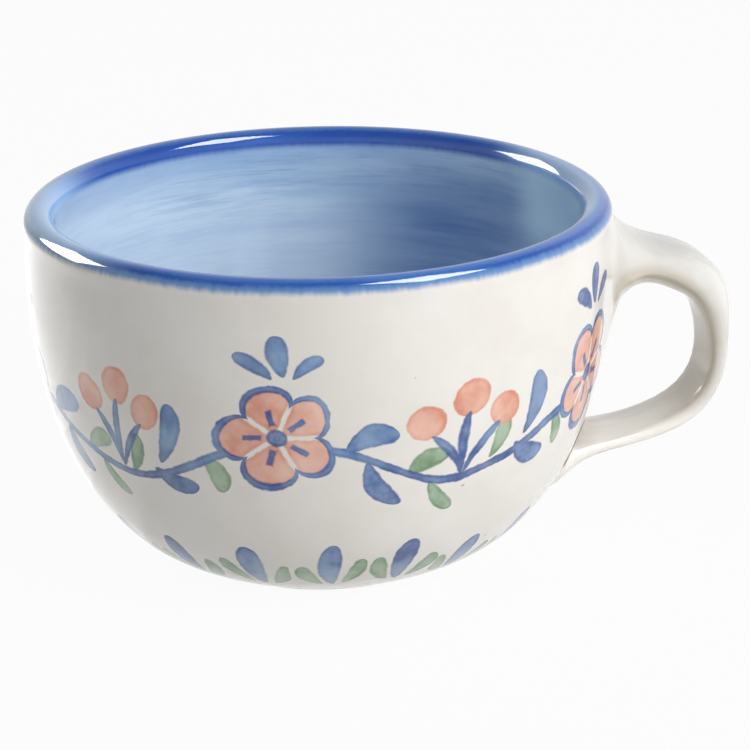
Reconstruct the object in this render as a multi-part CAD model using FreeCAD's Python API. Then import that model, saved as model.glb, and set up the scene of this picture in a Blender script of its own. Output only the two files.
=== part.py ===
# A wide stoneware soup cup: a thrown, bowl-shaped body with a full round lip and a turned foot ring, and one pulled
# strap handle. The handle was luted on while the clay was soft and both were fired together, so the cup is one solid.
# Frame: the origin is the centre of the foot ring on the table, +Z is up, and the handle points along +X.
# Sizes are in millimetres.
import FreeCAD
import Part
import math
import os

# Body
rim_diameter = 127.0        # outside, over the lip
height = 80.2               # table to the top of the lip
wall = 5.4                  # thickness of the body's wall
lip_thickness = 6.6         # the lip is a full round, fatter than the wall
neck_depth = 0.3            # how far the outside dips in under the lip
neck_drop = 4.3             # from the middle of the lip down to that dip
floor_height = 6.6          # table to the inside of the floor, at the centre
shoulder_drop = 12.7        # top of the lip down to where the belly's curve has become a vertical wall
belly_fullness = 3.43       # exponent of the belly's curve: 2 is an ellipse, more is squarer

# Foot ring, turned into the underside
foot_diameter = 55.0        # outside of the ring, where it meets the table
foot_ring_width = 3.6
foot_rise = 0.8             # height of the ring's outside, where the belly starts
foot_recess = 1.3           # depth of the turned hollow inside the ring
foot_rounding = 0.7         # radius on the ring's two edges

# Handle, a strap in the XZ plane
handle_reach = 28.2         # wall to the outer face of the strap, at its furthest
handle_drop = 18.0          # top of the lip down to the strap's centre where it leaves the wall
handle_bottom = 17.5        # height of the strap's centre where it meets the wall again
strap_width = 16.4          # at the grip
strap_thickness = 4.7       # at the grip
strap_squareness = 2.5      # exponent of the strap's section: 2 is an ellipse, more is squarer
finger_groove = 0.45        # depth of the shallow groove that pulling left along the outer face
upper_joint_width = 31.0    # the strap spreads where it joins the wall
upper_joint_depth = 27.0
upper_smoothing = 3.0       # radius of the clay smoothed over the upper joint
lower_joint_width = 21.5    # the tail spreads less, where it was pressed on
lower_joint_depth = 10.5
lower_smoothing = 0.7       # the lower joint keeps a sharper crease
tail_length = 4.6           # the tail bends down onto the wall over this distance
tail_rise = 2.1
tail_spread = 0.2           # share of the lower joint's spread at the start of the tail
root_depth = 0.75           # how far the joints reach into the wall, as a share of the wall

# Where the strap's centre runs: the share of its reach beyond the wall, the share of the way from the tail up to the
# upper joint, and how much of the upper joint's spread is left in it there.
strap_run = [
    (0.02, 0.995, 0.86),
    (0.10, 0.990, 0.60),
    (0.26, 0.984, 0.33),
    (0.45, 0.960, 0.25),
    (0.69, 0.916, 0.21),
    (0.895, 0.806, 0.17),
    (0.97, 0.590, 0.09),
    (0.96, 0.352, 0.01),
    (0.68, 0.147, 0.00),
    (0.18, 0.033, 0.00),
]

belly_steps = 3             # pairs of arcs along the belly's outline
section_points = 12         # points round the strap's section

rim_radius = rim_diameter / 2
lip_radius = lip_thickness / 2
lip_height = height - lip_radius
belly_height = height - shoulder_drop
inner_radius = rim_radius - wall
foot_radius = foot_diameter / 2
outer_depth = (belly_height - foot_rise) / math.sqrt(1 - (foot_radius / rim_radius) ** belly_fullness)
inner_depth = belly_height - floor_height
handle_top = height - handle_drop

UP = FreeCAD.Vector(0, 0, 1)
ACROSS = FreeCAD.Vector(0, 1, 0)


def at(radius, level):
    """A point of the XZ plane."""
    return FreeCAD.Vector(radius, 0, level)


def belly_level(radius, top_radius, depth):
    """The level of a belly curve at a radius."""
    return belly_height - depth * math.sqrt(1 - (radius / top_radius) ** belly_fullness)


def belly_radius(level, top_radius, depth):
    """The radius of a belly curve at a level."""
    drop = (belly_height - level) / depth
    return top_radius * (1 - drop ** 2) ** (1 / belly_fullness)


def belly_direction(radius, top_radius, depth):
    """The way a belly curve runs at a radius."""
    drop = belly_height - belly_level(radius, top_radius, depth)
    steepness = depth ** 2 * belly_fullness * (radius / top_radius) ** (belly_fullness - 1)
    return at(2 * top_radius * drop, steepness).normalize()


def tangent_arc(start, along, end):
    """The arc that leaves a point in a direction and passes through another point."""
    chord = end - start
    side = along - chord * (along.dot(chord) / chord.dot(chord))
    half_turn = along.getAngle(chord) / 2
    middle = (start + end) / 2 + side.normalize() * (chord.Length / 2 * math.tan(half_turn))
    return Part.Arc(start, middle, end).toShape()


def arc_pair(start, along_start, end, along_end):
    """Two arcs that meet smoothly, with a set direction at each end."""
    gap = end - start
    bend = 1 - along_start.dot(along_end)
    lean = gap.dot(along_start + along_end)
    arm = (math.sqrt(lean ** 2 + 2 * bend * gap.dot(gap)) - lean) / (2 * bend)
    middle = (start + end + (along_start - along_end) * arm) / 2
    return [tangent_arc(start, along_start, middle), tangent_arc(end, along_end * -1, middle)]


def belly_curve(from_radius, top_radius, depth):
    """A belly's outline from a radius near the foot up to the vertical wall, as a chain of smooth arcs."""
    start = math.asin(from_radius / top_radius)
    points = []
    directions = []
    for i in range(belly_steps):
        radius = top_radius * math.sin(start + (math.pi / 2 - start) * i / belly_steps)
        points.append(at(radius, belly_level(radius, top_radius, depth)))
        directions.append(belly_direction(radius, top_radius, depth))
    points.append(at(top_radius, belly_height))
    directions.append(UP)
    arcs = []
    for i in range(belly_steps):
        arcs += arc_pair(points[i], directions[i], points[i + 1], directions[i + 1])
    return arcs


def upright_curve(*points):
    """A spline that starts and ends straight up or straight down."""
    rise = at(0, points[-1].z - points[0].z)
    curve = Part.BSplineCurve()
    curve.interpolate(Points=list(points), InitialTangent=rise, FinalTangent=rise)
    return curve.toShape()


def polyline(*points):
    """Straight edges through points."""
    return [Part.makeLine(a, b) for a, b in zip(points, points[1:])]


def make_body():
    """The thrown body: foot ring, belly, round lip and the hollow inside, as one profile turned about Z."""
    ring_inside = foot_radius - foot_ring_width
    underside = polyline(at(0, foot_recess), at(ring_inside - foot_recess, foot_recess), at(ring_inside, 0),
                         at(foot_radius, 0), at(foot_radius, foot_rise))
    outside = belly_curve(foot_radius, rim_radius, outer_depth)
    neck = upright_curve(at(rim_radius, belly_height), at(rim_radius - neck_depth, lip_height - neck_drop),
                         at(rim_radius, lip_height))
    lip_inside = at(rim_radius - lip_thickness, lip_height)
    lip = Part.Arc(at(rim_radius, lip_height), at(rim_radius - lip_radius, height), lip_inside).toShape()
    throat = upright_curve(lip_inside, at(inner_radius, belly_height))
    inside = belly_curve(0, inner_radius, inner_depth)
    axis = polyline(at(0, floor_height), at(0, foot_recess))
    profile = Part.Wire(underside + outside + [neck, lip, throat] + inside[::-1] + axis)
    return Part.Face(profile).revolve(at(0, 0), UP, 360)


def round_foot(body):
    """The two edges of the foot ring are rounded, as a sponge leaves them."""
    edges = [edge for edge in body.Edges
             if edge.BoundBox.ZMax < foot_recess / 2 and edge.BoundBox.XLength > foot_radius]
    return body.makeFillet(min(foot_rounding, foot_rise * 0.9), edges)


def spread_by(share, joint_width, joint_depth):
    """The strap's width and thickness where it has a share of a joint's spread."""
    return (strap_width + (joint_width - strap_width) * share,
            strap_thickness + (joint_depth - strap_thickness) * share)


def strap_stations():
    """Centre, outward direction, width and thickness of the strap, from its upper root round to its lower one."""
    upper_root = at(rim_radius - wall * root_depth, handle_top)
    landing = at(belly_radius(handle_bottom, rim_radius, outer_depth), handle_bottom)
    lower_root = landing - at(wall * root_depth, 0)
    tail = landing + at(tail_length, tail_rise)
    reach = handle_reach - strap_thickness / 2
    rise = handle_top - tail.z
    centres = [upper_root]
    sizes = [(upper_joint_width, upper_joint_depth)]
    for out, up, spread in strap_run:
        centres.append(at(rim_radius + reach * out, tail.z + rise * up))
        sizes.append(spread_by(spread, upper_joint_width, upper_joint_depth))
    centres += [tail, lower_root]
    sizes += [spread_by(tail_spread, lower_joint_width, lower_joint_depth), (lower_joint_width, lower_joint_depth)]
    path = Part.BSplineCurve()
    path.interpolate(centres)
    outwards = [path.tangent(path.parameter(centre))[0].cross(ACROSS) for centre in centres]
    outwards[0] = UP
    outwards[-1] = belly_direction(landing.x, rim_radius, outer_depth) * -1
    return list(zip(centres, outwards, sizes))


def strap_section(centre, outward, size):
    """A closed spline across the strap: a flattened oval with a shallow groove along its outer face."""
    width, thickness = size
    power = 2 / strap_squareness
    points = []
    for i in range(section_points):
        angle = 2 * math.pi * i / section_points
        side = math.copysign(abs(math.cos(angle)) ** power, math.cos(angle))
        out = math.copysign(abs(math.sin(angle)) ** power, math.sin(angle))
        groove = finger_groove * max(0, out) * math.cos(side * math.pi / 2) ** 2
        points.append(centre + ACROSS * (side * width / 2) + outward * (out * thickness / 2 - groove))
    curve = Part.BSplineCurve()
    curve.interpolate(Points=points, PeriodicFlag=True)
    return Part.Wire([curve.toShape()])


def make_handle():
    """The pulled strap, lofted through its sections. Both of its ends lie inside the wall."""
    sections = [strap_section(*station) for station in strap_stations()]
    return Part.makeLoft(sections, True, False)


def seam_edges(cup, lowest, highest):
    """The edges of the seam between strap and wall that lie between two levels."""
    widest = max(upper_joint_width, lower_joint_width) + 2 * upper_smoothing
    seam = []
    for edge in cup.Edges:
        box = edge.BoundBox
        on_wall = 0 < box.XMin and box.XMax < rim_radius + neck_depth
        off_plane = foot_rounding < box.YLength < widest
        if on_wall and off_plane and lowest < box.Center.z < highest:
            seam.append(edge)
    return seam


def make_cup():
    """Body and handle as the one fired piece, with the clay smoothed over where they meet."""
    cup = round_foot(make_body()).fuse(make_handle())
    half_way = (handle_top + handle_bottom) / 2
    cup = cup.makeFillet(upper_smoothing, seam_edges(cup, half_way, height))
    return cup.makeFillet(lower_smoothing, seam_edges(cup, floor_height, half_way))


os.makedirs("parts", exist_ok=True)
cup = make_cup()
print("cup: valid", cup.isValid(), "solids", len(cup.Solids), "volume cm3", round(cup.Volume / 1000, 1))
cup.exportStep("parts/cup.step")
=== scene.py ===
import bmesh
import bpy
from math import atan2, copysign, cos, hypot, pi, radians, sin
from mathutils import Euler, Matrix, Vector, noise


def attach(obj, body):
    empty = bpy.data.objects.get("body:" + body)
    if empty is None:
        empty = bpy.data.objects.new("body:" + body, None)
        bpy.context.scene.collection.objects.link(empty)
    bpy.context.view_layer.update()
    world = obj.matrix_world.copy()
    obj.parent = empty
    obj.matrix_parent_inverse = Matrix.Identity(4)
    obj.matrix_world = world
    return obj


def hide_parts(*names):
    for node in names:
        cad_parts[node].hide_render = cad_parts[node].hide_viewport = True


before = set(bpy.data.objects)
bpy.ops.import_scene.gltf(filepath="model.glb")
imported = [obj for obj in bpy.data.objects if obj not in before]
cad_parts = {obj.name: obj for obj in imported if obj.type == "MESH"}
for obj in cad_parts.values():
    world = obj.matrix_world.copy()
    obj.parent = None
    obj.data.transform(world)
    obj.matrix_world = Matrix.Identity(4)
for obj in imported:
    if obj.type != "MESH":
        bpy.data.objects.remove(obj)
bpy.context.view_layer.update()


# The view
# A long lens on a tripod looks down a little on the cup, with the handle to the right and turned slightly away.
# The camera leans by a degree.
mm = 0.001
view_turn = radians(-11.46)
view_pitch = radians(18.586)
view_lean = radians(-0.953)
view_distance = 766.3 * mm
aim = Vector((0, 0, 40 * mm))
aim_right = 11.72 * mm
aim_up = -0.51 * mm
lens = 168

facing = Euler((pi / 2 - view_pitch, 0, view_turn)).to_matrix()
bpy.ops.object.camera_add(location=aim + facing @ Vector((aim_right, aim_up, view_distance)),
                          rotation=(facing @ Matrix.Rotation(view_lean, 3, "Z")).to_euler())
camera = bpy.context.object
camera.data.lens = lens
bpy.context.scene.camera = camera
bpy.context.scene.view_settings.view_transform = "Standard"


# Recipes for materials
# A material is written as sums. Each sum adds its nodes to the material's recipe.
class Wire:
    """An outlet of a node. A sum written on it adds Math nodes to the same recipe."""

    def __init__(self, recipe, node, name=0):
        self.recipe = recipe
        self.node = node
        self.socket = node.outputs[name] if node.outputs else None

    def outlet(self, name):
        return Wire(self.recipe, self.node, name)

    def math(self, operation, *values):
        return self.recipe.add("ShaderNodeMath", dict(enumerate(values)), operation=operation)

    def __add__(self, other):
        return self.math("ADD", self, other)

    def __sub__(self, other):
        return self.math("SUBTRACT", self, other)

    def __rsub__(self, other):
        return self.math("SUBTRACT", other, self)

    def __mul__(self, other):
        return self.math("MULTIPLY", self, other)

    def __truediv__(self, other):
        return self.math("DIVIDE", self, other)

    def __pow__(self, other):
        return self.math("POWER", self, other)

    def __abs__(self):
        return self.math("ABSOLUTE", self)

    __radd__ = __add__
    __rmul__ = __mul__


class Recipe:
    """A material's or a world's node tree. One method adds any node from its type, its inputs and its settings."""

    def __init__(self, owner):
        owner.use_nodes = True
        self.tree = owner.node_tree
        self.tree.nodes.clear()

    def add(self, kind, inputs=(), out=0, **settings):
        node = self.tree.nodes.new(kind)
        for name, value in settings.items():
            setattr(node, name, value)
        for key, value in dict(inputs).items():
            if isinstance(value, Wire):
                self.tree.links.new(value.socket, node.inputs[key])
            else:
                node.inputs[key].default_value = value
        return Wire(self, node, out)


def ink(red, green, blue):
    """A colour as the eye and a paint chart number it, 0 to 255, made linear for a socket."""
    return tuple(((share / 255 + 0.055) / 1.055) ** 2.4 if share > 10 else share / 255 / 12.92
                 for share in (red, green, blue)) + (1,)


def background_rays(recipe):
    """1 for a ray that shows the background itself: straight to the camera, or in a reflection."""
    path = recipe.add("ShaderNodeLightPath", out="Is Camera Ray")
    return path.math("MINIMUM", path + path.outlet("Is Glossy Ray") + path.outlet("Is Transmission Ray"), 1)


# The table and the background
# A matt white sweep that runs back from the table without an edge. Seen by the camera it is plain white, and only
# the cup's soft shadow shows on it.
table_size = 6
bpy.ops.mesh.primitive_plane_add(size=table_size, location=(0, 0, 0))
table = bpy.context.object
table.name = "table"
table.data.materials.append(bpy.data.materials.new("white_sweep"))
sweep = Recipe(table.data.materials[0])
shadow_share = 0.05
paper = sweep.add("ShaderNodeBsdfDiffuse", {"Color": (0.78, 0.765, 0.74, 1)})
glow = sweep.add("ShaderNodeEmission", {"Color": (1, 1, 1, 1), "Strength": 1})
seen = sweep.add("ShaderNodeMixShader", {0: background_rays(sweep) * (1 - shadow_share), 1: paper, 2: glow})
sweep.add("ShaderNodeOutputMaterial", {"Surface": seen})


# The light
# A broad soft light comes from the front right. Two small softboxes give the glaze its sharp highlights, and the
# bright sweep behind on the left shines in its edge. A pale room with a grey ceiling fills the shadows.
def softbox(name, turn, rise, distance, width, height, power):
    """An area lamp that looks at the cup, placed by its direction from the cup as seen from the camera."""
    heading = turn + view_turn
    place = Vector((cos(rise) * cos(heading), cos(rise) * sin(heading), sin(rise))) * distance + aim
    bpy.ops.object.light_add(type="AREA", location=place, rotation=(place - aim).to_track_quat("Z", "Y").to_euler())
    lamp = bpy.context.object
    lamp.name = name
    lamp.data.shape = "RECTANGLE"
    lamp.data.size = width
    lamp.data.size_y = height
    lamp.data.energy = power
    return lamp


softbox("broad_light", radians(-38), radians(23), 1.2, 1.0, 0.7, 11.5).visible_glossy = False
softbox("softbox_back_left", radians(152), radians(26), 1.1, 0.63, 0.5, 17).visible_diffuse = False
softbox("softbox_high_right", radians(-24), radians(60), 1.1, 0.5, 0.5, 13).visible_diffuse = False

# Disks of light lie on the sweep, each larger than the one below it, so that their edge is soft.
sheen_power = 0.6
for level, size in enumerate([0.18, 0.25, 0.32, 0.39]):
    bpy.ops.object.light_add(type="AREA", location=(-160 * mm, 150 * mm, (1 + level) * mm), rotation=(pi, 0, 0))
    sheen = bpy.context.object
    sheen.name = "bright_sweep"
    sheen.data.shape = "DISK"
    sheen.data.size = size
    sheen.data.energy = size * size * sheen_power
    sheen.visible_camera = False

bpy.context.scene.world = bpy.data.worlds.new("white_room")
room = Recipe(bpy.context.scene.world)
upward = room.add("ShaderNodeSeparateXYZ", {0: room.add("ShaderNodeTexCoord", out="Generated")}, out="Z")
ceiling = room.add("ShaderNodeMapRange", {"Value": upward, "From Min": 0.45, "From Max": 0.85, "To Min": 1,
                                          "To Max": 0.3}, interpolation_type="SMOOTHSTEP")
walls = room.add("ShaderNodeBackground", {"Color": (0.95, 0.97, 1, 1), "Strength": 0.35})
white = room.add("ShaderNodeBackground", {"Color": (1, 1, 1, 1), "Strength": ceiling})
room.add("ShaderNodeOutputWorld",
         {"Surface": room.add("ShaderNodeMixShader", {0: background_rays(room), 1: walls, 2: white})})


# The cup
# Stoneware thrown on the wheel: a bowl-shaped body with a full round lip and a foot ring turned into its underside.
# A pulled strap of the same clay is luted on as the handle, and all of it was fired as one piece.
rim_radius = 63.5
lip_radius = 3.3
lip_level = 76.89
wall = 5.4
inner_radius = rim_radius - wall
belly_level = 67.5
outer_depth = 68.7
inner_depth = 60.9
belly_fullness = 3.43
columns = 56
tolerance = 0.01 * mm
# A subdivision surface draws a ring of points in. The rings are drawn wider by this share, to make up for it.
column_swell = 3 / (2 + cos(2 * pi / columns))


def belly(level, top_radius, depth):
    """Radius of the belly's curve at a level."""
    return top_radius * (1 - ((belly_level - level) / depth) ** 2) ** (1 / belly_fullness)


def start_vertex(place):
    """In edit mode, one new vertex, selected alone."""
    bpy.ops.mesh.select_all(action="DESELECT")
    bpy.ops.mesh.primitive_plane_add(size=1 * mm, location=place)
    bpy.ops.mesh.merge(type="CENTER")


def draw_on(step):
    """In edit mode, the selected vertex is extruded by a step, which draws one edge."""
    bpy.ops.mesh.extrude_region_move(TRANSFORM_OT_translate={"value": step})


outside_levels = [1.3, 2.6, 4.2, 6.0, 7.8, 9.8, 12.2, 14.8, 17.4, 20.0, 22.8, 26.6, 31.6, 37.6, 44.6, 52.2, 60.0]
inside_levels = [62.5, 56.0, 49.5, 43.0, 37.0, 31.0, 25.5, 20.5, 16.0, 12.4, 9.6, 7.7]
underside = [(0, 1.3), (8, 1.3), (16, 1.3), (21.8, 1.3), (22.9, 1.1), (23.9, 0.12), (24.6, 0), (26.4, 0), (27.5, 0.1)]
outside = [(belly(level, rim_radius, outer_depth), level) for level in outside_levels]
neck = [(63.5, 67.8), (63.2, 74.6)]
lip_steps = 8
lip_swell = 3 / (2 + cos(pi / lip_steps))
lip = [(rim_radius - lip_radius + lip_radius * lip_swell * cos(pi * i / lip_steps),
        lip_level + lip_radius * lip_swell * sin(pi * i / lip_steps)) for i in range(lip_steps + 1)]
throat = [(57.1, 74.0), (57.7, 70.5)]
inside = [(belly(level, inner_radius, inner_depth), level) for level in [67.0] + inside_levels] + [(12, 6.62), (0, 6.6)]
profile = underside + outside + neck + lip + throat + inside

bpy.ops.object.select_all(action="DESELECT")
bpy.ops.mesh.primitive_plane_add(size=1 * mm, location=(0, 0, 0))
cup = bpy.context.object
cup.name = "stoneware_cup"
bpy.ops.object.mode_set(mode="EDIT")
bpy.ops.mesh.delete(type="VERT")
start_vertex((0, 0, profile[0][1] * mm))
for (radius, level), (next_radius, next_level) in zip(profile, profile[1:]):
    draw_on(((next_radius - radius) * column_swell * mm, 0, (next_level - level) * mm))
bpy.ops.mesh.select_all(action="SELECT")
bpy.ops.mesh.spin(steps=columns, angle=2 * pi, center=(0, 0, 0), axis=(0, 0, 1))
bpy.ops.mesh.select_all(action="SELECT")
bpy.ops.mesh.remove_doubles(threshold=tolerance)

# Where the handle joins, the wall is cut open. Ribs of twenty points follow the strap from one opening to the other,
# and are bridged into a tube.
outer_squareness = 2.5
finger_groove = 0.45
ridges = (12, 18)
ridge_crease = 0.55
# Each opening: its lowest and highest level, and how far round the cup it reaches to either side.
upper_joint = (44.6, 74.6, 3 * 2 * pi / columns)
lower_joint = (7.8, 22.8, 2 * 2 * pi / columns)
opening_margin = 1
# Each rib: the strap's centre out from the cup's axis and up, the lean of its outer face from straight up,
# its width, its thickness, and how far round its section the ridge along its inner face lies.
ribs = [
    (63.7, 63.2, 2, 32.0, 22.2, 30),
    (66.1, 62.7, 2, 26.6, 17.8, 26),
    (70.4, 61.7, 5, 21.8, 12.4, 17),
    (75.6, 60.5, 12, 20.2, 10.2, 17),
    (81.9, 58.2, 28, 19.5, 10.7, 23),
    (87.0, 53.6, 58, 18.6, 9.2, 34),
    (88.7, 44.7, 86, 17.4, 5.3, 45),
    (88.2, 34.7, 108, 16.5, 4.3, 45),
    (82.0, 25.7, 146, 16.4, 4.6, 45),
    (68.4, 21.4, 166, 17.0, 4.3, 26),
    (57.6, 20.0, 188, 20.4, 5.6, 24),
    (52.3, 16.8, 207, 24.6, 12.2, 30),
]


def rib_outline(out, up, lean, width, thickness, ridge):
    """Points round the strap: a flattened oval with a shallow groove along its outer face. Round the inner face the
    points keep to the ridges."""
    outward = Vector((sin(radians(lean)), 0, cos(radians(lean))))
    across = Vector((0, 1, 0))
    inner_squareness = 2 + (ridge - 20) * 0.06
    inner_turns = [ridge * 0.5, ridge, ridge + (90 - ridge) / 3, ridge + (90 - ridge) / 1.5]
    turns = ([18 * i for i in range(11)] + [180 + turn for turn in inner_turns] + [270]
             + [360 - turn for turn in inner_turns[::-1]])
    points = []
    for angle in map(radians, turns):
        power = 2 / (outer_squareness if sin(angle) >= 0 else inner_squareness)
        side = copysign(abs(cos(angle)) ** power, cos(angle))
        face = copysign(abs(sin(angle)) ** power, sin(angle))
        groove = finger_groove * max(0, face) * cos(side * pi / 2) ** 2
        points.append((Vector((out, 0, up)) + across * (side * width / 2) + outward * (face * thickness / 2 - groove))
                      * mm)
    return points


def hold(before, point, after):
    """A subdivision surface draws a bend in. This is where the point goes, so that the surface passes through it."""
    return point + (point - (before + after) / 2) / 3


# The points are held first round each rib, and then along the strap.
outlines = [rib_outline(*rib) for rib in ribs]
outlines = [[hold(*points) for points in zip(outline[-1:] + outline, outline, outline[1:] + outline[:1])]
            for outline in outlines]
outlines = ([outlines[0]]
            + [[hold(*points) for points in zip(*three)] for three in zip(outlines, outlines[1:], outlines[2:])]
            + [outlines[-1]])


def select_at(points):
    """In edit mode, the vertices that lie at some points are selected, with the edges between them."""
    shell = bmesh.from_edit_mesh(cup.data)
    bpy.ops.mesh.select_all(action="DESELECT")
    for vertex in shell.verts:
        vertex.select_set(any((vertex.co - point).length < tolerance for point in points))
    shell.select_flush_mode()
    bmesh.update_edit_mesh(cup.data)


def cut_opening(low, high, half_angle):
    """In edit mode, the handle's joint is cut from the wall between two levels. The points round it are returned."""
    shell = bmesh.from_edit_mesh(cup.data)
    bpy.ops.mesh.select_all(action="DESELECT")
    for face in shell.faces:
        centre = face.calc_center_median() / mm
        outer = hypot(centre.x, centre.y) > belly(min(centre.z, belly_level), rim_radius, outer_depth) - wall / 2
        if outer and abs(atan2(centre.y, centre.x)) < half_angle and low < centre.z < high:
            face.select_set(True)
    shell.select_flush_mode()
    bmesh.update_edit_mesh(cup.data)
    bpy.ops.mesh.delete(type="FACE")
    shell = bmesh.from_edit_mesh(cup.data)
    return [vertex.co.copy() for vertex in shell.verts
            if vertex.is_boundary and low - opening_margin < vertex.co.z / mm < high + opening_margin]


rings = [cut_opening(*upper_joint)] + outlines + [cut_opening(*lower_joint)]
for outline in outlines:
    start_vertex(outline[0])
    for here, there in zip(outline, outline[1:]):
        draw_on(there - here)
    select_at([outline[0], outline[-1]])
    bpy.ops.mesh.edge_face_add()
for near, far in zip(rings, rings[1:]):
    select_at(near + far)
    bpy.ops.mesh.bridge_edge_loops()
# The ridges along the strap's inner face are creased, short of the two joints.
for near, far in zip(outlines[1:], outlines[2:-1]):
    for ridge in ridges:
        select_at([near[ridge], far[ridge]])
        bpy.ops.transform.edge_crease(value=ridge_crease)
bpy.ops.mesh.select_all(action="SELECT")
bpy.ops.mesh.normals_make_consistent(inside=False)
bpy.ops.object.mode_set(mode="OBJECT")

smoothing = cup.modifiers.new("smoothing", "SUBSURF")
smoothing.levels = 2
smoothing.render_levels = 2
bpy.ops.object.modifier_apply(modifier=smoothing.name)
bpy.ops.object.shade_smooth()

# No thrown cup is quite true: the wall wanders in by up to a quarter of a millimetre.
wander = 0.12 * mm
wander_scale = 30
for vertex in cup.data.vertices:
    from_axis = Vector((vertex.co.x, vertex.co.y, 0))
    inward = (noise.noise(vertex.co * wander_scale) + 1) * wander
    vertex.co -= from_axis.normalized() * min(from_axis.length, inward)


# The glaze and the painting
# One material covers the whole cup. Its patterns are laid out from places on the cup itself.
cup.data.materials.append(bpy.data.materials.new("glazed_stoneware"))
glaze = Recipe(cup.data.materials[0])


def ease(value, low, high):
    """0 below one value, 1 above another, and a soft step between."""
    return glaze.add("ShaderNodeMapRange", {"Value": value, "From Min": low, "From Max": high},
                     interpolation_type="SMOOTHSTEP")


def cloud(scale, detail=2, roughness=0.5, place=None):
    """Soft noise between 0 and 1. The scale counts its lumps in a metre."""
    return glaze.add("ShaderNodeTexNoise", {"Vector": place or spot, "Scale": scale, "Detail": detail,
                                            "Roughness": roughness})


def stretched(x, y, z):
    """The place on the cup with each axis stretched, for grain that runs round it or down it."""
    return glaze.add("ShaderNodeVectorMath", {0: spot, 1: (x, y, z)}, operation="MULTIPLY")


def paint(under, over, share):
    """One colour laid over another."""
    return glaze.add("ShaderNodeMix", {0: share, 6: under, 7: over}, out=2, data_type="RGBA")


def lesser(*values):
    """The least of some values."""
    result = values[0]
    for value in values[1:]:
        result = result.math("MINIMUM", result, value)
    return result


def greater(*values):
    """The greatest of some values."""
    result = values[0]
    for value in values[1:]:
        result = result.math("MAXIMUM", result, value)
    return result


# Where a point lies, in millimetres: height, distance from the axis, turn round it, and depth behind the outside.
# From these, hollow is 1 inside the cup and strap is 1 on the handle.
spot = glaze.add("ShaderNodeTexCoord", out="Object")
east = glaze.add("ShaderNodeSeparateXYZ", {0: spot})
north = east.outlet("Y")
height = east.outlet("Z") * 1000
axis_distance = ((east * east + north * north) ** 0.5) * 1000
turn = east.math("ARCTAN2", north, east)
fall = greater(belly_level - height, 0) / outer_depth
wall_radius = greater(1 - fall * fall, 0.001) ** (1 / belly_fullness) * rim_radius
depth_behind = wall_radius - axis_distance
hollow = ease(depth_behind, lip_radius - 0.1, lip_radius + 0.1) * ease(height, 4, 5)
strap = ease(depth_behind, -0.4, -1.2)

# The bare glaze: off-white and faintly mottled, with a few iron specks. On the handle, painted shade makes it greyer
# above and painted light makes it paler at the tail, and the pull of the hand has left faint marks along it.
mottle = cloud(45, 4, 0.6)
bare = paint(ink(229, 225, 218), ink(236, 233, 228), ease(mottle, 0.3, 0.7))
speck_cells = glaze.add("ShaderNodeTexVoronoi", {"Vector": spot, "Scale": 260})
speck_draw = glaze.add("ShaderNodeSeparateColor", {0: speck_cells.outlet("Color")})
specks = ease(speck_cells, 0.13, 0.05) * ease(speck_draw, 0.93, 0.94)
bare = paint(bare, ink(160, 140, 118), specks * 0.6)
# Painted shade: the strap is greyer above.
bare = paint(bare, ink(206, 204, 199), strap * ease(height, 22, 34) * 0.4)
# Painted light: the strap is paler at its tail.
bare = paint(bare, ink(248, 243, 236), strap * ease(height, 30, 24) * 0.7)
pull_marks = cloud(50, 3, 0.6, stretched(1, 4, 1))
bare = paint(bare, ink(204, 202, 198), strap * ease(pull_marks, 0.45, 0.7) * 0.4)
bare = paint(bare, ink(244, 243, 240), strap * ease(pull_marks, 0.48, 0.3) * 0.5)

# Painted shade: round the hole inside the handle, the strap is painted warmer and darker.
hole_centre = (68, 42)
hole_radii = (18.2, 18.4)
hole_x = (east * 1000 - hole_centre[0]) / hole_radii[0]
hole_z = (height - hole_centre[1]) / hole_radii[1]
painted_shade_in_handle = ease(hole_x * hole_x + hole_z * hole_z, 1.4, 1.1) * strap * ease(height, 24, 31)
bare = paint(bare, ink(194, 184, 162), painted_shade_in_handle * 0.55)

# The painting, in the brush strokes of a folk potter: a garland runs round the wall, with coral blossoms and berries
# and blue and green leaves, over a border of upright leaves at the foot. It stops short of the handle.
garlands = 5
border_leaves = 18
vine_level = 39.5
vine_swing = 5.5
blossom_level = 46.5
petal_count = 5
petal_dent = 7.6            # from the middle of a blossom to the dents between its petals
petal_length = 4.2          # from there to the tips of the petals
# The hand sways, the paint is wetter or thicker in places, and its edges are ragged.
sway = glaze.add("ShaderNodeTexNoise", {"Vector": spot, "Scale": 34, "Detail": 1})
sway_parts = glaze.add("ShaderNodeSeparateColor", {0: sway.outlet("Color")})
wet = cloud(150, 3, 0.6)
load = cloud(48, 1)
ragged = (cloud(620, 2) - 0.5) * 0.7
beside_handle = ease(abs(turn), 0.44, 0.32) * 7
# Down the belly, the painting's level follows the round of the cup.
down = greater(belly_level - height, 0)
in_from_rim = rim_radius - axis_distance
level = greater(height, belly_level) - (down * down + in_from_rim * in_from_rim) ** 0.5
level = level + (sway_parts.outlet("Green") - 0.5) * 7


def round_the_cup(count, first):
    """The wall in equal shares. Gives the way round from the middle of a share, and a draw of chance for each."""
    share = turn * (count / (2 * pi)) + first + count
    number = share.math("FLOOR", share)
    chance = glaze.add("ShaderNodeTexWhiteNoise", {"W": share.math("MODULO", number, count) + first},
                       noise_dimensions="1D")
    return (share - number - 0.5) * (2 * pi / count), chance - 0.5


def stroke(x, y, start_x, start_y, lean, length, width, bend):
    """How far a place lies outside one stroke of a pointed brush, laid from a start and fattest past its middle."""
    right, up = cos(radians(lean)), sin(radians(lean))
    from_x, from_y = x - start_x, y - start_y
    run = (from_x * right + from_y * up) / length
    part = lesser(greater(run, 0), 1)
    arch = part * (1 - part) * 4
    beside = from_y * right - from_x * up - arch * bend
    return abs(beside) + abs(run - part) * length - (arch ** 0.5) * (part * 0.7 + 0.65) * (width / 2)


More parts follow.
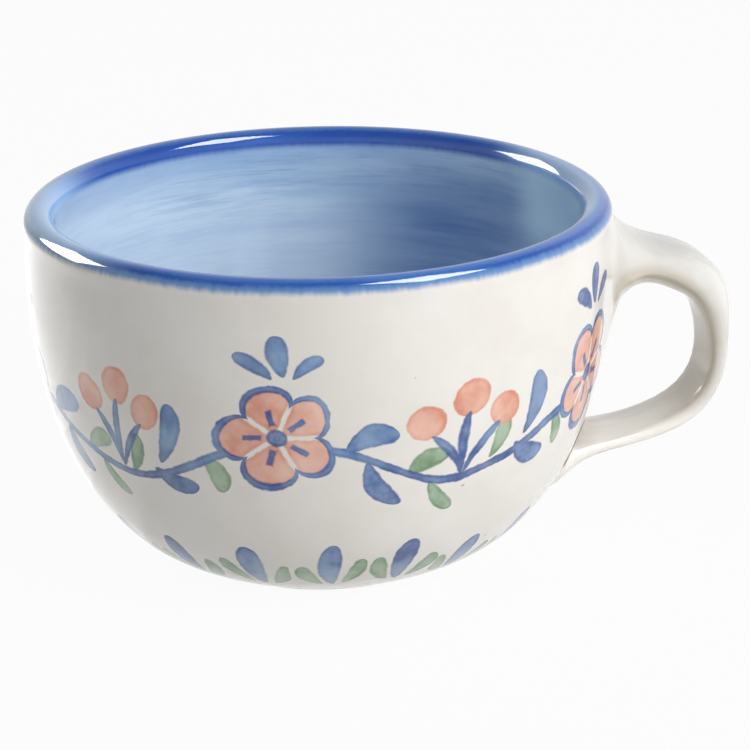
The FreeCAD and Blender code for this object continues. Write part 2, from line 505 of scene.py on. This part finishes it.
def dab(x, y, centre_x, centre_y, radius):
    """How far a place lies outside a round dab of the brush."""
    from_x, from_y = x - centre_x, y - centre_y
    return (from_x * from_x + from_y * from_y) ** 0.5 - radius


def brushed(under, outside, thin, thick):
    """Thin paint inside an outline: watery in the middle, pooled darker at its edge."""
    outside = outside + ragged + beside_handle
    pooled = ease(outside, -1.2, -0.1) * 0.4 + ease(wet, 0.34, 0.7) * 0.5 + ease(load, 0.35, 0.65) * 0.6
    return paint(under, paint(thin, thick, pooled), ease(outside, 0.25, -0.25) * (0.7 + wet * 0.4))


share, chance = round_the_cup(garlands, 0)
way = share * axis_distance + (sway_parts - 0.5) * 8
swing = glaze.add("ShaderNodeMath", {0: share * garlands}, operation="COSINE")
moved_x, moved_y = way + chance * 4, level - swing * 0.5 + chance * 2
petal_x, petal_y = moved_x, moved_y - blossom_level
reach = (petal_x * petal_x + petal_y * petal_y) ** 0.5
round_blossom = (petal_x.math("ARCTAN2", petal_y, petal_x) + chance * 2) * (petal_count / 2)
lobe = abs(round_blossom.math("COSINE", round_blossom))
petal_edge = reach - (lobe ** 0.7) * petal_length - petal_dent
petals = greater(petal_edge, 0.5 - lobe * reach / (petal_count / 2))
vine = greater(abs(level - vine_level - swing * vine_swing) - 0.8 - wet * 0.6, petal_edge * -1)
petal_outline = abs(petal_edge - 0.3) - wet * 1.1 - 0.3
rays = greater(abs(round_blossom.math("SINE", round_blossom)) * reach / (petal_count / 2) - 0.6,
               abs(reach - 4.9) - 1.9)
heart = lesser(abs(reach - 1.0) - 1.0, rays)
# Each stroke: where it starts across and up, its lean from level, its length, its width and its bend.
green_leaves = [(27, 37.5, 32, 10.5, 4.2, 0.8), (31, 35.5, -62, 9.5, 3.8, -0.8), (-33, 36, 82, 10, 4, -0.6),
                (-15, 42, -62, 9.5, 3.8, 0.8)]
blue_leaves = [(14, 42.5, 24, 13.5, 5.2, 1.3), (19, 40.5, -70, 12.5, 4.8, -1.2), (-25, 39.5, 78, 13.5, 5.0, -1.2),
               (-27, 38, -22, 12, 4.6, -1)]
green = lesser(*[stroke(moved_x, moved_y, *leaf) for leaf in green_leaves])
crown = [(0, 61, 92, 9, 3.8, 0.5), (-2, 60.5, 142, 8, 3.2, -0.8), (2, 60.5, 38, 8, 3.2, 0.8)]
blue = lesser(vine, *[stroke(moved_x, moved_y, *leaf) for leaf in blue_leaves + crown])

share, chance = round_the_cup(garlands, 0.5)
sprig_x, sprig_y = share * axis_distance + (sway_parts - 0.5) * 8, level + chance * 3
stems = [(0, 34, 118, 14, 2, -1.2), (0, 34, 88, 17, 2, 0.8), (0, 34, 58, 14, 2, 1.2)]
# Each berry: its centre across and up, and its radius.
berries = [(-8, 49.5, 4.0), (1, 54, 4.2), (9, 48.5, 3.9)]
blue = lesser(blue, *[stroke(sprig_x, sprig_y, *stem) for stem in stems])
coral = lesser(*[dab(sprig_x, sprig_y, *berry) for berry in berries])

share, chance = round_the_cup(border_leaves, 0.5)
foot_x, foot_y = share * axis_distance + (sway_parts - 0.5) * 4 + chance * 1.5, level + chance * 3
blue = lesser(blue, stroke(foot_x, foot_y, 0, 2, 90, 15, 5, 0.6))
green = lesser(green, stroke(foot_x, foot_y, 2.2, 2.5, 62, 10, 3.6, -0.7),
               stroke(foot_x, foot_y, -2.2, 2.5, 118, 10, 3.6, 0.7))

bare = brushed(bare, green, ink(168, 194, 164), ink(98, 138, 98))
bare = brushed(bare, petals, ink(238, 194, 174), ink(218, 142, 116))
bare = brushed(bare, coral, ink(236, 184, 160), ink(214, 132, 104))
bare = brushed(bare, lesser(blue, petal_outline, heart), ink(104, 150, 196), ink(26, 74, 144))

# The wash inside: pale blue, put on with a wide brush while the cup turned on the wheel.
streaks = cloud(9, 4, 0.6, stretched(1, 1, 14))
broad = cloud(14, 2, 0.5, stretched(1, 1, 3))
wash = paint(ink(140, 180, 220), ink(202, 224, 242), ease(streaks * 0.6 + broad * 0.5, 0.38, 0.62))
fine_streaks = cloud(22, 3, 0.7, stretched(1, 1, 22))
wash = paint(wash, ink(106, 146, 192), ease(fine_streaks, 0.56, 0.74) * 0.5)
wash = paint(wash, ink(204, 214, 222), ease(fine_streaks, 0.42, 0.28) * 0.35)
wash = paint(wash, ink(110, 150, 200), ease(cloud(60, 3, 0.7, stretched(1, 1, 12)), 0.42, 0.7) * 0.35)
# Painted light: the wash is lighter on the side away from the handle, and deeper down in the cup.
wash = paint(wash, ink(222, 238, 254), greater(ease(abs(turn), 1.5, 2.5), ease(height, 72, 53)) * 0.62)
# Partly thicker paint and partly painted shade: below the lip, the wash is darker and deeper blue on the side towards
# the handle.
denser_paint_and_shade = ease(abs(turn - 0.75), 0.72, 0.1) * ease(height, 80, 58)
wash = paint(wash, ink(40, 102, 172), denser_paint_and_shade * (streaks * 1.6 - 0.1))
wash = paint(wash, ink(108, 152, 206), ease(height + broad * 6, 70, 80) * ease(abs(turn), 0.6, 1.2) * 0.5)
# Painted light: near the lip beside the handle, the wash is lighter.
wash = paint(wash, ink(216, 242, 255), ease(abs(turn), 0.55, 0.35) * ease(height, 56, 66))

# The band on the lip: deep blue, brushed round, and thin on the crest. Outside it is thin along its lower edge too,
# where it ran down in fine lines. Inside it ends more sharply.
bleed = (cloud(900, 2, 0.5, stretched(1, 1, 0.06)) - 0.5) * 0.8 + (cloud(70, 1) - 0.5) * 0.6
outer_edge = height + bleed
band = ease(outer_edge, 76.9, 78.5)
band_in = ease(height + bleed * 0.5, 75.6, 77.6)
lip_streaks = cloud(16, 3, 0.6, stretched(1, 1, 8))
deep = paint(ink(32, 82, 174), ink(58, 112, 200), ease(lip_streaks, 0.38, 0.66))
deep = paint(deep, ink(98, 146, 220), ease(height + bleed * 0.4, 79.4, 80.2) * 0.75)
# Painted reflection: the band is paler on the side away from the handle, and inside the lip beside the handle.
painted_lip_sheen = greater(ease(abs(turn), 2.35, 2.85), ease(abs(turn), 0.65, 0.35) * ease(depth_behind, 2.4, 4.4))
deep = paint(deep, ink(172, 212, 255), painted_lip_sheen * 0.9)
thin_band = paint(ink(96, 140, 194), deep, ease(outer_edge, 78.4, 79.5))

colour = paint(bare, wash, hollow)
colour = paint(colour, paint(thin_band, deep, hollow), band * (1 - hollow) + band_in * hollow)

# Where the strap's tail was pressed on, a dark hairline runs beside the crease: partly iron gathered in it, and partly
# painted shade along where the tail passes behind the wall. Beside it the tail is tinted brown, partly stain and
# partly painted shade. The hairline lies in a slanting plane, at a distance from the cup's origin.
slant = (0.793, -0.336, -0.388)
slant_distance = 37.8
beside_tail = (east * slant[0] + north * slant[1]) * 1000 + height * slant[2] - slant_distance
tail = ease(height, 26, 24.5) * ease(height, 17, 18.5) * strap * ease(north * 1000, 8, -2)
crease_line_and_shade = ease(abs(beside_tail), 0.5, 0.25) * (wet * 0.5 + 0.6)
crease_stain_and_shade = ease(beside_tail, 5, 0) * ease(height, 20, 22) * wet * 0.5
colour = paint(colour, ink(104, 86, 64), tail * greater(crease_line_and_shade, crease_stain_and_shade))

# The foot ring is wiped clean of glaze, and shows the buff body of the clay.
worn = cloud(120, 3)
foot = ease(height + worn * 0.7, 1.15, 0.75) * ease(axis_distance, 21.5, 22.2)
clay = paint(ink(196, 172, 140), ink(168, 143, 112), cloud(900, 2))
colour = paint(colour, clay, foot)

# The surface ripples a little, and the lower strap is less glossy than the rest.
ripple = cloud(55, 2, 0.5) * 0.6 + cloud(18, 1, 0.5, stretched(1, 1, 7))
bumps = glaze.add("ShaderNodeBump", {"Height": ripple + foot * cloud(1500, 2) * 0.3, "Strength": 0.25,
                                     "Distance": 0.4 * mm})
satin = strap * ease(height, 44, 22) * 0.16
surface = glaze.add("ShaderNodeBsdfPrincipled", {
    "Base Color": colour, "Roughness": 0.04 + foot * 0.7 + mottle * 0.04 + satin, "IOR": 1.52, "Normal": bumps})
glaze.add("ShaderNodeOutputMaterial", {"Surface": surface})

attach(cup, "root")
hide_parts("cup")
